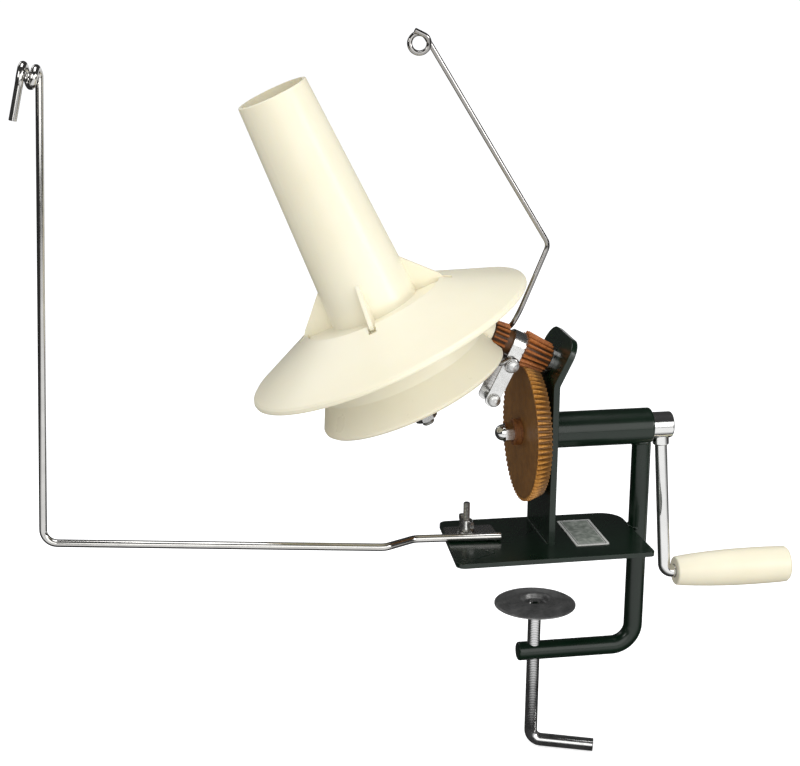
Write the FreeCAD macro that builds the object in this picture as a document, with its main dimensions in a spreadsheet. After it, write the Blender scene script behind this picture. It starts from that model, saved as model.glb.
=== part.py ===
import FreeCAD, Part
import Sketcher
import math
import os

V = FreeCAD.Vector
SC = Sketcher.Constraint
doc = FreeCAD.newDocument("winder")
sheet = doc.addObject("Spreadsheet::Sheet", "Sizes")
VAL = {}


def size(name, value, note):
    row = str(len(VAL) + 1)
    sheet.set("A" + row, name)
    sheet.set("B" + row, repr(float(value)))
    sheet.set("C" + row, note)
    sheet.setAlias("B" + row, name)
    VAL[name] = float(value)


# ---- driving dimensions, mm and degrees; origin under the plate on the clamp screw's axis
size("plate_th", 3.2, "base plate thickness")
size("strip_th", 4.4, "upright strip thickness")
size("strip_w", 54.6, "upright strip width")
size("crank_z", 73.5, "crank axis height")
size("tube_ro", 12.0, "shaft tube outer radius")
size("tube_bore", 8.0, "shaft tube bore radius")
size("tube_end", 75.6, "shaft tube right end")
size("tilt", 25.6, "pinion axis above horizontal")
size("apex_x", 104.84, "drive gear cone apex")
size("ball_x", -122.94, "spool and pinion axes cross here")
size("ball_z", 182.61, "height of that crossing")
size("face_u", 141.5, "tab face along the pinion axis")
size("shaft_r", 5.0, "crank shaft radius")
size("shaft_fit", 0.05, "radial running clearance")
size("bar_r", 6.4, "clamp bar radius")
size("bar_x", 70.1, "clamp bar drop line")
size("bar_z", -83.3, "clamp bar lower arm height")
size("bar_bend", 15.0, "clamp bar bend radius")
size("bar_end", -11.4, "clamp bar free end")
size("screw_r", 4.4, "clamp screw radius")
size("pad_r", 27.5, "clamp pad radius")
size("pad_top", -48.15, "pad rim height at rest")
size("axle_r", 4.0, "pinion and spool axle radius")
size("hub_r", 8.8, "crank hub radius")
size("arm_r", 4.2, "crank arm radius")
size("grip_z", -31.8, "grip axis height")
size("grip_x", 98.4, "grip left end")
size("grip_len", 81.0, "grip length")
size("grip_rmax", 12.75, "grip widest radius")
size("grip_rend", 9.8, "grip inner end radius")
size("top_s", 127.4, "tube top above the crossing")
size("top_r", 23.1, "tube top radius")
size("base_r", 29.3, "tube base radius")
size("wall", 2.2, "tube wall")
size("skirt_r", 95.6, "skirt rim radius")
size("skirt_s", 46.2, "skirt rim below the crossing")
size("hole_r", 46.2, "skirt centre hole radius")
size("fin_r", 48.4, "fin reach")
size("fin_th", 2.6, "fin thickness")
size("house_r", 54.5, "housing neck radius")
size("house_flare", 62.3, "housing widest radius")
size("house_wall", 1.8, "housing wall")
size("clip_th", 1.5, "flyer clip strip thickness")
size("groove_r", 7.9, "pinion groove radius")
size("flyer_wire_r", 1.65, "flyer wire radius")
size("guide_wire_r", 2.55, "guide wire radius")
size("bolt_x", -48.85, "guide bolt position")
size("bolt_y", 1.0, "guide bolt offset")
doc.recompute()


class Q:
    """A number together with the spreadsheet expression that gives it."""

    def __init__(self, v, e):
        self.v = float(v)
        self.e = e

    def __add__(self, o):
        o = q(o)
        return Q(self.v + o.v, "(%s + %s)" % (self.e, o.e))

    __radd__ = __add__

    def __sub__(self, o):
        o = q(o)
        return Q(self.v - o.v, "(%s - %s)" % (self.e, o.e))

    def __rsub__(self, o):
        return q(o) - self

    def __mul__(self, o):
        o = q(o)
        return Q(self.v * o.v, "(%s * %s)" % (self.e, o.e))

    __rmul__ = __mul__

    def __neg__(self):
        return Q(-self.v, "(0 - %s)" % self.e)


def q(x):
    if isinstance(x, Q):
        return x
    return Q(x, "%.9g" % float(x) if float(x) >= 0 else "(0 - %.9g)" % (-float(x)))


def D(name):
    return Q(VAL[name], "Sizes." + name)


# ---- frames
def place(origin, xdir, zdir):
    z = V(zdir)
    z.normalize()
    x = V(xdir)
    y = z.cross(x)
    y.normalize()
    x = y.cross(z)
    return FreeCAD.Placement(V(origin), FreeCAD.Rotation(x, y, z, "ZXY"))


ca, sa = math.cos(math.radians(VAL["tilt"])), math.sin(math.radians(VAL["tilt"]))
G1 = V(ca, 0, -sa)
A1 = V(-ca, 0, sa)
UPV = V(sa, 0, ca)
P = V(VAL["ball_x"], 0, VAL["ball_z"])
X0 = V(VAL["apex_x"], 0, VAL["crank_z"])
TH, PS = math.radians(25.06), math.radians(3.71)
AX = V(-math.sin(TH) * math.cos(PS), math.sin(PS), math.cos(TH) * math.cos(PS))
RU = V(0.906, 0, 0.424)
RU = RU - AX * RU.dot(AX)
RU.normalize()
RV = AX.cross(RU)
SIG = math.acos(G1.dot(AX * -1.0))

IDENT = FreeCAD.Placement()
CRANK = place(V(0, 0, VAL["crank_z"]), V(0, 0, 1), V(1, 0, 0))      # local z runs along +X
PIN = place(P, UPV, G1)                                            # local z = u
SPOOL = place(P, RU, AX)                                           # local z = s

NODES = []


def node(obj, label):
    obj.Label = label
    NODES.append(obj)
    return obj


def plane_of(body, role):
    for f in body.Origin.OriginFeatures:
        if f.Role == role:
            return f


def sketch(body, role, pts, circles=()):
    sk = body.newObject("Sketcher::SketchObject", "Sketch")
    sk.AttachmentSupport = [(plane_of(body, role), "")]
    sk.MapMode = "FlatFace"
    P2 = [(q(a), q(b)) for a, b in pts]
    n = len(P2)
    for i in range(n):
        a, b = P2[i], P2[(i + 1) % n]
        sk.addGeometry(Part.LineSegment(V(a[0].v, a[1].v, 0), V(b[0].v, b[1].v, 0)), False)
    for i in range(n):
        sk.addConstraint(SC("Coincident", i, 2, (i + 1) % n, 1))
    for i in range(n):
        for k, (kind, axis) in enumerate((("DistanceX", -2), ("DistanceY", -1))):
            val = P2[i][k]
            if abs(val.v) < 1e-9:
                sk.addConstraint(SC("PointOnObject", i, 1, axis))
            else:
                c = sk.addConstraint(SC(kind, -1, 1, i, 1, val.v))
                if "Sizes." in val.e:
                    sk.setExpression("Constraints[%d]" % c, val.e)
    for cx, cy, r in circles:
        cx, cy, r = q(cx), q(cy), q(r)
        g = sk.addGeometry(Part.Circle(V(cx.v, cy.v, 0), V(0, 0, 1), r.v), False)
        c = sk.addConstraint(SC("Radius", g, r.v))
        if "Sizes." in r.e:
            sk.setExpression("Constraints[%d]" % c, r.e)
        for kind, axis, val in (("DistanceX", -2, cx), ("DistanceY", -1, cy)):
            if abs(val.v) < 1e-9:
                sk.addConstraint(SC("PointOnObject", g, 3, axis))
            else:
                c = sk.addConstraint(SC(kind, -1, 1, g, 3, val.v))
                if "Sizes." in val.e:
                    sk.setExpression("Constraints[%d]" % c, val.e)
    return sk


def new_body(label, placement):
    b = doc.addObject("PartDesign::Body", "Body")
    b.Placement = placement
    node(b, label)
    return b


def revolve(body, pts):
    """Profile in (radius, axial) turned about the body's z axis."""
    sk = sketch(body, "XZ_Plane", pts)
    f = body.newObject("PartDesign::Revolution", "Revolution")
    f.Profile = sk
    f.ReferenceAxis = (sk, ["V_Axis"])
    f.Angle = 360.0
    sk.Visibility = False
    doc.recompute()
    return f


def pad(body, role, pts, length, circles=(), mid=False, offset=0.0, reverse=False):
    sk = sketch(body, role, pts, circles)
    if offset:
        sk.AttachmentOffset = FreeCAD.Placement(V(0, 0, offset), FreeCAD.Rotation())
    f = body.newObject("PartDesign::Pad", "Pad")
    f.Profile = sk
    length = q(length)
    f.Length = length.v
    if "Sizes." in length.e:
        f.setExpression("Length", length.e)
    f.Midplane = mid
    f.Reversed = reverse
    doc.recompute()
    return f


def pocket(body, role, pts, length, circles=(), mid=False, offset=0.0, reverse=False):
    before = body.Tip.Shape.Volume
    sk = sketch(body, role, pts, circles)
    if offset:
        sk.AttachmentOffset = FreeCAD.Placement(V(0, 0, offset), FreeCAD.Rotation())
    f = body.newObject("PartDesign::Pocket", "Pocket")
    f.Profile = sk
    f.Length = q(length).v
    f.Midplane = mid
    f.Reversed = reverse
    doc.recompute()
    if not f.Shape.Volume < before - 1e-6:
        raise RuntimeError("pocket cut nothing in " + body.Label)
    return f


def blend(body, radius, pick, kind="PartDesign::Fillet"):
    base = body.Tip
    names = ["Edge%d" % (i + 1) for i, e in enumerate(base.Shape.Edges) if pick(e)]
    if not names:
        raise RuntimeError("no edge to blend in " + body.Label)
    f = body.newObject(kind, "Blend")
    f.Base = (base, names)
    if kind.endswith("Fillet"):
        f.Radius = radius
    else:
        f.Size = radius
    doc.recompute()
    if f.Shape.isNull() or not f.Shape.isValid():
        raise RuntimeError("blend failed in " + body.Label)
    return f


def ring_at(r, z, tol=0.02):
    """Picks circular edges of radius r at height z in the body's own frame."""
    def pick(e):
        c = e.Curve
        return (type(c).__name__ == "Circle" and abs(c.Radius - r) < tol
                and abs(c.Center.z - z) < tol and abs(abs(c.Axis.z) - 1) < 1e-6)
    return pick


def feature(label, shape, placement=IDENT):
    f = doc.addObject("Part::Feature", "Piece")
    f.Shape = shape
    f.Placement = placement
    node(f, label)
    return f


def hexpts(af, turn=0.0):
    r = af / 2.0 / math.cos(math.pi / 6)
    return [(r * math.cos(math.radians(60 * k + turn)), r * math.sin(math.radians(60 * k + turn))) for k in range(6)]


def hexnut(label, placement, af, bore, height, turn=0.0):
    """Hexagon nut standing on local z = 0, corners chamfered by a cone."""
    rc = af / 2.0 / math.cos(math.pi / 6)
    b = new_body(label, placement)
    pad(b, "XY_Plane", hexpts(af, turn), height, circles=[(0, 0, bore)])
    sk = sketch(b, "XZ_Plane", [(af / 2.0 + 0.15, height), (rc + 1.0, height), (rc + 1.0, height - (rc + 0.85 - af / 2.0) * 0.577)])
    g = b.newObject("PartDesign::Groove", "Groove")
    g.Profile = sk
    g.ReferenceAxis = (sk, ["V_Axis"])
    g.Angle = 360.0
    doc.recompute()
    sk = sketch(b, "XZ_Plane", [(af / 2.0 + 0.15, 0), (rc + 1.0, 0), (rc + 1.0, (rc + 0.85 - af / 2.0) * 0.577)])
    g = b.newObject("PartDesign::Groove", "Groove")
    g.Profile = sk
    g.ReferenceAxis = (sk, ["V_Axis"])
    g.Angle = 360.0
    doc.recompute()
    return b


def washer(label, placement, ro, ri, th):
    b = new_body(label, placement)
    revolve(b, [(ri, 0), (ro, 0), (ro, th), (ri, th)])
    return b


def arc_data(p, t, e):
    """Circle tangent to t at p that passes through e: centre, axis, angle in degrees."""
    c = e - p
    axis = t.cross(c)
    axis.normalize()
    perp = c - t * c.dot(t)
    radius = c.Length * c.Length / (2.0 * perp.Length)
    perp.normalize()
    return p + perp * radius, axis, math.degrees(2.0 * t.getAngle(c))


def biarc(p0, t0, p1, t1):
    """Point where two tangent arcs meet between the two ends."""
    v = p1 - p0
    t = t0 + t1
    k = 2.0 * (1.0 - t0.dot(t1))
    if k < 1e-9:
        d = v.dot(v) / (4.0 * v.dot(t1))
    else:
        d = (-v.dot(t) + math.sqrt(v.dot(t) ** 2 + k * v.dot(v))) / k
    return (p0 + t0 * d + p1 - t1 * d) * 0.5


def round_rod(steps, r):
    """Solid round rod. steps: start point and direction, then points to reach, straight or by a tangent arc."""
    p, t = V(steps[0][0]), V(steps[0][1])
    t.normalize()
    disc = Part.Face(Part.Wire([Part.Circle(p, t, r).toShape()]))
    pieces = []
    for kind, e in steps[1:]:
        e = V(e)
        if (e - p).Length < 1e-6:
            continue
        c = V(e - p)
        c.normalize()
        if kind == "line" or t.getAngle(c) < 2e-4:
            pieces.append(disc.extrude(e - p))
            disc = disc.copy()
            disc.translate(e - p)
        else:
            cen, axis, ang = arc_data(p, t, e)
            pieces.append(disc.revolve(cen, axis, ang))
            disc = disc.copy()
            disc.rotate(cen, axis, ang)
            t = FreeCAD.Rotation(axis, ang).multVec(t)
        p = e
    out = pieces[0].fuse(pieces[1:]) if len(pieces) > 1 else pieces[0]
    if out.ShapeType != "Solid" and len(out.Solids) == 1:
        out = out.Solids[0]
    return out


def bent(points, bends):
    """Steps for straight runs joined by tangent bends."""
    steps = [(points[0], points[1] - points[0])]
    for i in range(1, len(points) - 1):
        a, b, c = points[i - 1], points[i], points[i + 1]
        d1, d2 = V(b - a), V(c - b)
        d1.normalize()
        d2.normalize()
        cut = bends[i - 1] * math.tan(d1.getAngle(d2) / 2)
        steps.append(("line", b - d1 * cut))
        steps.append(("arc", b + d2 * cut))
    steps.append(("line", points[-1]))
    return steps


def flow(points, t0, t1):
    """Steps for pairs of tangent arcs through the points, without the starting step."""
    tans = [V(t0)]
    for i in range(1, len(points) - 1):
        a, b = points[i] - points[i - 1], points[i + 1] - points[i]
        d = a * (1.0 / a.Length ** 2) + b * (1.0 / b.Length ** 2)
        tans.append(V(d))
    tans.append(V(t1))
    for d in tans:
        d.normalize()
    out = []
    for i in range(len(points) - 1):
        out.append(("arc", biarc(points[i], tans[i], points[i + 1], tans[i + 1])))
        out.append(("arc", points[i + 1]))
    return out


# ---- 1 base plate: flat plate with one large rounded corner at the back right
PLATE = [(-61.3, 29.4), (-67.2, -52.6), (66.2, -51.5), (64.2, 27.7)]
plate = new_body("base_plate", IDENT)
pad(plate, "XY_Plane", PLATE, D("plate_th"))


def corner(x, y):
    def pick(e):
        b = e.BoundBox
        return b.ZLength > 2 and abs(b.Center.x - x) < 1.0 and abs(b.Center.y - y) < 1.0 and b.XLength < 0.1
    return pick


blend(plate, 15.0, corner(64.2, 27.7))
blend(plate, 5.5, corner(-61.3, 29.4))
blend(plate, 5.5, corner(-67.2, -52.6))
blend(plate, 4.0, corner(66.2, -51.5))
blend(plate, 0.6, lambda e: abs(e.BoundBox.ZLength) < 1e-6 and e.BoundBox.ZMin > VAL["plate_th"] - 1e-3)
pocket(plate, "XY_Plane", [], 8.0, circles=[(D("bolt_x"), D("bolt_y"), 2.3)], mid=True)
pocket(plate, "XY_Plane", [], 3.4, circles=[(D("bolt_x"), D("bolt_y"), 4.1)], mid=True)
pocket(plate, "XY_Plane", [], 8.0, circles=[(D("bar_x"), 0, D("bar_r"))], mid=True)

# ---- 2 blank name plate
label = new_body("name_plate", IDENT)
pad(label, "XY_Plane", [(17.6, -32.6), (40.4, -32.6), (40.4, 14.8), (17.6, 14.8)], 0.5, offset=VAL["plate_th"])
blend(label, 1.2, lambda e: e.BoundBox.XLength < 0.01 and e.BoundBox.YLength < 0.01)

# ---- 3 upright strip, bent square to the pinion axis
zl = VAL["ball_z"] - (VAL["face_u"] - (0 - VAL["ball_x"]) * ca) / sa
zr = VAL["ball_z"] - (VAL["face_u"] + VAL["strip_th"] - (VAL["strip_th"] - VAL["ball_x"]) * ca) / sa
TAB = 31.2
strip = new_body("upright_bracket", IDENT)
t1 = (TAB * sa, zl + TAB * ca)
t2 = (t1[0] + VAL["strip_th"] * ca, t1[1] - VAL["strip_th"] * sa)
pad(strip, "XZ_Plane", [(0, D("plate_th")), (D("strip_th"), D("plate_th")), (D("strip_th"), zr), t2, t1, (0, zl)],
    D("strip_w"), mid=True)
blend(strip, 3.0, lambda e: e.BoundBox.YLength > 50 and abs(e.BoundBox.Center.z - zr) < 0.3 and abs(e.BoundBox.Center.x - VAL["strip_th"]) < 0.2)
blend(strip, 7.4, lambda e: e.BoundBox.YLength > 50 and abs(e.BoundBox.Center.z - zl) < 0.3 and abs(e.BoundBox.Center.x) < 0.2)
blend(strip, 12.0, lambda e: e.BoundBox.YLength < 0.01 and e.BoundBox.Center.z > zl + TAB * ca - 2.5 and e.BoundBox.DiagonalLength < 4.6)
blend(strip, 0.5, lambda e: abs(abs(e.BoundBox.Center.y) - VAL["strip_w"] / 2) < 0.01 and e.BoundBox.YLength < 0.01
      and e.BoundBox.ZLength > 15)
pocket(strip, "YZ_Plane", [], 20.0, circles=[(0, D("crank_z"), D("tube_bore"))], mid=True)
h1 = strip.newObject("Sketcher::SketchObject", "Sketch")
h1.AttachmentSupport = [(plane_of(strip, "XY_Plane"), "")]
h1.MapMode = "FlatFace"
h1.AttachmentOffset = place(P + G1 * (VAL["face_u"] + VAL["strip_th"] + 4), UPV, G1)
h1.addGeometry(Part.Circle(V(0, 0, 0), V(0, 0, 1), VAL["axle_r"] + 0.05), False)
c1 = h1.addConstraint(SC("Radius", 0, VAL["axle_r"] + 0.05))
h1.setExpression("Constraints[%d]" % c1, "Sizes.axle_r + 0.05")
h1.addConstraint(SC("Coincident", 0, 3, -1, 1))
hp = strip.newObject("PartDesign::Pocket", "Pocket")
hp.Profile = h1
hp.Length = 12.0
vol0 = strip.Shape.Volume
doc.recompute()
if not hp.Shape.Volume < vol0 - 100:
    raise RuntimeError("axle hole missed the tab")

# ---- 4 shaft tube welded to the strip's right face
tube = new_body("shaft_tube", CRANK)
revolve(tube, [(D("tube_bore"), D("strip_th")), (D("tube_ro"), D("strip_th")), (D("tube_ro"), D("tube_end")), (D("tube_bore"), D("tube_end"))])
blend(tube, 1.8, ring_at(VAL["tube_ro"], VAL["tube_end"]))

# ---- 5 clamp bar: down from the tube, under the table edge, bored and tapped at its free end
bar = new_body("clamp_frame", IDENT)
BX, BZ, BR = VAL["bar_x"], VAL["bar_z"], VAL["bar_bend"]
path = bar.newObject("Sketcher::SketchObject", "Path")
path.AttachmentSupport = [(plane_of(bar, "XZ_Plane"), "")]
path.MapMode = "FlatFace"
path.addGeometry(Part.LineSegment(V(BX, 65.0, 0), V(BX, BZ + BR, 0)), False)
path.addGeometry(Part.ArcOfCircle(Part.Circle(V(BX - BR, BZ + BR, 0), V(0, 0, 1), BR), 1.5 * math.pi, 2 * math.pi), False)
path.addGeometry(Part.LineSegment(V(BX - BR, BZ, 0), V(VAL["bar_end"], BZ, 0)), False)
path.addConstraint(SC("Tangent", 0, 2, 1, 2))
path.addConstraint(SC("Tangent", 1, 1, 2, 1))
path.addConstraint(SC("Vertical", 0))
path.addConstraint(SC("Horizontal", 2))
for kind, g, pos, val, ex in (("DistanceX", 0, 1, BX, "Sizes.bar_x"), ("DistanceY", 0, 1, 65.0, None),
                              ("DistanceY", 2, 2, BZ, "Sizes.bar_z"), ("DistanceX", 2, 2, VAL["bar_end"], "Sizes.bar_end")):
    c = path.addConstraint(SC(kind, -1, 1, g, pos, val))
    if ex:
        path.setExpression("Constraints[%d]" % c, ex)
c = path.addConstraint(SC("Radius", 1, BR))
path.setExpression("Constraints[%d]" % c, "Sizes.bar_bend")
sec = bar.newObject("Sketcher::SketchObject", "Section")
sec.AttachmentSupport = [(plane_of(bar, "XY_Plane"), "")]
sec.MapMode = "FlatFace"
sec.AttachmentOffset = FreeCAD.Placement(V(0, 0, 65.0), FreeCAD.Rotation())
sec.addGeometry(Part.Circle(V(BX, 0, 0), V(0, 0, 1), VAL["bar_r"]), False)
c = sec.addConstraint(SC("Radius", 0, VAL["bar_r"]))
sec.setExpression("Constraints[%d]" % c, "Sizes.bar_r")
c = sec.addConstraint(SC("DistanceX", -1, 1, 0, 3, BX))
sec.setExpression("Constraints[%d]" % c, "Sizes.bar_x")
sec.addConstraint(SC("PointOnObject", 0, 3, -1))
pipe = bar.newObject("PartDesign::AdditivePipe", "Pipe")
pipe.Profile = sec
pipe.Spine = (path, ["Edge1", "Edge2", "Edge3"])
doc.recompute()
blend(bar, 1.6, lambda e: e.BoundBox.XLength < 0.5 and abs(e.BoundBox.Center.x - VAL["bar_end"]) < 0.3)
pocket(bar, "XY_Plane", [], 40.0, circles=[(0, 0, D("screw_r") + 0.06)], mid=True, offset=BZ)
pocket(bar, "YZ_Plane", [], 200.0, circles=[(0, D("crank_z"), D("tube_ro"))], mid=True)

# ---- 6, 7 shaft bushes
for name, x0, x1, fl in (("bush_left", 0.0, 14.0, -0.8), ("bush_right", 61.6, 75.6, None)):
    b = new_body(name, CRANK)
    ri = D("shaft_r") + D("shaft_fit")
    if fl is not None:
        revolve(b, [(ri, fl), (9.6, fl), (9.6, x0), (D("tube_bore"), x0), (D("tube_bore"), x1), (ri, x1)])
    else:
        revolve(b, [(ri, x0), (D("tube_bore"), x0), (D("tube_bore"), x1), (ri, x1)])


# ---- bevel teeth: involute on the back cone, every edge running to the shared apex
def involute(a):
    return math.tan(a) - a


def tooth_ring(n, delta, axial, backlash, add=1.0, ded=1.25, flank=4, phase=0.0):
    """Closed outline in the plane at the given axial distance from the apex; teeth centred on phase."""
    dist = axial / math.cos(delta)
    m = 2 * dist * math.sin(delta) / n
    rv = dist * math.tan(delta)
    nv = n / math.cos(delta)
    rb = rv * math.cos(math.radians(20))
    rt, rr = rv + add * m, rv - ded * m
    lo = max(rb, rr)
    pts = []
    for k in range(n):
        mid = phase + 2 * math.pi * k / n
        side = []
        for i in range(flank):
            rho = lo + (rt - lo) * i / (flank - 1.0)
            ang = math.acos(min(1.0, rb / rho))
            psi = math.pi / (2 * nv) - backlash / (2 * rv) + involute(math.radians(20)) - involute(ang)
            side.append((rho, psi / math.cos(delta)))
        if rr < lo - 1e-9:
            side.insert(0, (rr, side[0][1]))
        for rho, th in side:
            pts.append((rho, mid - th))
        for rho, th in reversed(side):
            pts.append((rho, mid + th))
    out = []
    for rho, th in pts:
        r = axial * math.tan(delta + (rho - rv) / dist)
        out.append(V(r * math.cos(th), r * math.sin(th), axial))
    return out


def bevel(n, delta, a0, a1, backlash=0.18, phase=0.0, add=1.0):
    lo = tooth_ring(n, delta, a0, backlash, add, phase=phase)
    hi = [p * (a1 / a0) for p in lo]
    faces = [Part.Face(Part.makePolygon(lo + [lo[0]])), Part.Face(Part.makePolygon(hi + [hi[0]]))]
    for k in range(len(lo)):
        m = (k + 1) % len(lo)
        faces.append(Part.Face(Part.makePolygon([lo[k], lo[m], hi[m], hi[k], lo[k]])))
    shell = Part.Shell(faces)
    solid = Part.Solid(shell)
    if solid.Volume < 0:
        solid.reverse()
    return solid


def cyl(r, h, z0=0.0):
    return Part.makeCylinder(r, h, V(0, 0, z0), V(0, 0, 1))


# ---- 8 drive gear, 76 teeth, cone apex on the crank axis
N_DRIVE, N_PIN, N_RING = 76, 17, 104
D_DRIVE, D_PIN = math.radians(21.0), math.radians(4.6)
GEAR_FRAME = place(X0, V(0, 0, 1), V(-1, 0, 0))
g = bevel(N_DRIVE, D_DRIVE, 108.5, 118.9)
g = g.common(cyl(46.0, 30, 100))
g = g.cut(cyl(VAL["shaft_r"] + 0.01, 30, 100))
feature("drive_gear", g, GEAR_FRAME)

# ---- 9 crank shaft, 10 spacer, 11 washer, 12 dome nut
shaft = new_body("crank_shaft", CRANK)
revolve(shaft, [(0, -26.0), (3.0, -26.0), (3.0, -14.06), (D("shaft_r"), -14.06), (D("shaft_r"), 88.6), (0, 88.6)])
spacer = new_body("gear_spacer", CRANK)
revolve(spacer, [(3.02, -19.6), (8.8, -19.6), (8.8, -14.08), (3.02, -14.08)])
blend(spacer, 0.7, ring_at(8.8, -19.6))
washer("gear_washer", place(V(-3.64, 0, VAL["crank_z"]), V(0, 0, 1), V(1, 0, 0)), 10.5, 5.02, 2.7)
nut = new_body("gear_nut", place(V(-19.62, 0, VAL["crank_z"]), V(0, 0, 1), V(-1, 0, 0)))
pad(nut, "XY_Plane", hexpts(12.0), 5.4)
sk = sketch(nut, "XZ_Plane", [(6.15, 0), (8.4, 0), (8.4, 1.3)])
gr = nut.newObject("PartDesign::Groove", "Groove")
gr.Profile = sk
gr.ReferenceAxis = (sk, ["V_Axis"])
doc.recompute()
dome = [(0, 5.4)] + [(5.5 * math.cos(math.radians(a)), 5.4 + 0.6 + 5.5 * math.sin(math.radians(a))) for a in range(0, 90, 10)] + [(0, 11.5)]
dome.insert(1, (5.5, 5.4))
sk = sketch(nut, "XZ_Plane", dome)
rv_ = nut.newObject("PartDesign::Revolution", "Revolution")
rv_.Profile = sk
rv_.ReferenceAxis = (sk, ["V_Axis"])
doc.recompute()
pocket(nut, "XY_Plane", [], 6.6, circles=[(0, 0, 3.02)], reverse=True)

# ---- 13 crank hub with the shaft bore and the arm socket
hub = new_body("crank_hub", CRANK)
revolve(hub, [(0, 75.75), (D("hub_r"), 75.75), (D("hub_r"), 90.3), (0, 90.3)])
blend(hub, 1.6, ring_at(VAL["hub_r"], 90.3))
blend(hub, 0.5, ring_at(VAL["hub_r"], 75.75))
pocket(hub, "XY_Plane", [], 14.0, circles=[(0, 0, D("shaft_r") + 0.01)], offset=75.0, reverse=True)

# ---- 14 crank arm: rod from the hub, bent square onto the grip axis
GZ_ = VAL["grip_z"]
ARM = [V(83.3, 0, 68.0), V(90.9, 0, GZ_), V(97.7, 0, GZ_)]


arm = round_rod(bent(ARM, [6.2]), VAL["arm_r"])
arm = arm.cut(Part.makeCylinder(3.0, 30, V(93.8, 0, GZ_), V(1, 0, 0)))
arm = arm.cut(Part.makeCylinder(VAL["hub_r"], 30, V(70, 0, VAL["crank_z"]), V(1, 0, 0))).removeSplitter()
feature("crank_arm", arm)
# ---- 15 collar where the arm enters the hub
ad = V(ARM[1] - ARM[0])
ad.normalize()
cs = ARM[0] + ad * 1.4
nutbody = Part.makeCylinder(VAL["arm_r"] + 1.5, 6.4, cs, ad)
nutbody = nutbody.makeFillet(1.0, [e for e in nutbody.Edges if type(e.Curve).__name__ == "Circle" and (e.Curve.Center - (cs + ad * 6.4)).Length < 0.01])
nutbody = nutbody.cut(Part.makeCylinder(VAL["hub_r"] + 0.01, 40, V(60, 0, VAL["crank_z"]), V(1, 0, 0)))
nutbody = nutbody.cut(Part.makeCylinder(VAL["arm_r"] + 0.01, 40, ARM[0] - ad * 10, ad))
nutbody = sorted(nutbody.Solids, key=lambda x: x.BoundBox.Center.z)[0]
feature("hub_collar", nutbody)

# ---- 16 grip pin pressed in the arm's end, 17 grip turning on it
GRIP = place(V(0, 0, VAL["grip_z"]), V(0, 0, 1), V(1, 0, 0))
pin = new_body("grip_pin", GRIP)
ge = VAL["grip_x"] + VAL["grip_len"]
revolve(pin, [(0, 93.82), (2.99, 93.82), (2.99, 97.72), (4.6, 97.72), (4.6, 98.12), (3.0, 98.12), (3.0, ge - 9.0), (5.0, ge - 9.0), (5.0, ge - 6.0), (0, ge - 6.0)])
grip = new_body("crank_grip", GRIP)
gx, gl, gm, gi = D("grip_x"), D("grip_len"), D("grip_rmax"), D("grip_rend")
prof = [(3.05, gx), (gi - 0.6, gx), (gi, gx + 0.6)]
for f, k in ((0.08, 0.26), (0.18, 0.50), (0.30, 0.72), (0.43, 0.89), (0.56, 0.98), (0.67, 1.0), (0.80, 0.98), (0.92, 0.92)):
    prof.append((gi + (gm - gi) * k, gx + gl * f))
prof += [(gi + (gm - gi) * 0.83, gx + gl - 1.4), (gi + (gm - gi) * 0.45, gx + gl), (5.6, gx + gl), (5.6, gx + gl - 9.3), (3.05, gx + gl - 9.3)]
revolve(grip, prof)

# ---- 18 pinion: two toothed ends with a groove for the flyer clip
WPIN = place(X0, UPV, A1)
apex_u = (X0 - P).dot(G1)
half = math.pi / N_PIN
right = bevel(N_PIN, D_PIN, apex_u - 138.0, apex_u - 119.5, phase=math.pi + half)
right.Placement = WPIN
right = right.copy()
# teeth of the left end are the same teeth, so their azimuth is the same about the axis
DP, DR = math.radians(5.273), SIG - math.radians(5.273)
LFRAME = place(P, UPV, G1)
left = bevel(N_PIN, DP, 96.3, 105.6, phase=-(math.pi + half))
left.Placement = LFRAME
core = Part.makeCylinder(VAL["groove_r"], 42.4, P + G1 * 96.3, G1)
bore = Part.makeCylinder(VAL["axle_r"] + VAL["shaft_fit"], 60, P + G1 * 90, G1)
boss = Part.makeCylinder(8.9, 1.9, P + G1 * 138.0, G1)
pinion = right.fuse(left).fuse(core)
cutbore = pinion.cut(bore)
feature("pinion", cutbore)

# ---- 19 ring gear carried by the spool, 104 teeth on a cone about the spool axis
RING_FRAME = place(P, RU, AX * -1.0)
wv = AX * -1.0 - G1 * (AX * -1.0).dot(G1)
az_p = math.atan2(wv.dot(LFRAME.Rotation.multVec(V(0, 1, 0))), wv.dot(UPV))
gv = G1 - AX * G1.dot(AX)
az_r = math.atan2(gv.dot(RING_FRAME.Rotation.multVec(V(0, 1, 0))), gv.dot(RU))
step = 2 * math.pi / N_PIN
ph = -(math.pi + half)
eps = (ph - az_p + step / 2) % step - step / 2
ring_phase = az_r - eps * N_PIN / float(N_RING) + math.pi / N_RING
ring = bevel(N_RING, DR, 80.05, 83.85, phase=ring_phase)
ring = ring.cut(cyl(8.05, 20, 75)).cut(cyl(46.0, 2.0, 82.4).cut(cyl(30.0, 3, 82)))
for k in range(3):
    a = math.radians(30 + 120 * k)
    ring = ring.cut(Part.makeCylinder(1.6, 20, V(20 * math.cos(a), 20 * math.sin(a), 75), V(0, 0, 1)))
feature("spool_gear", ring, RING_FRAME)

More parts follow.
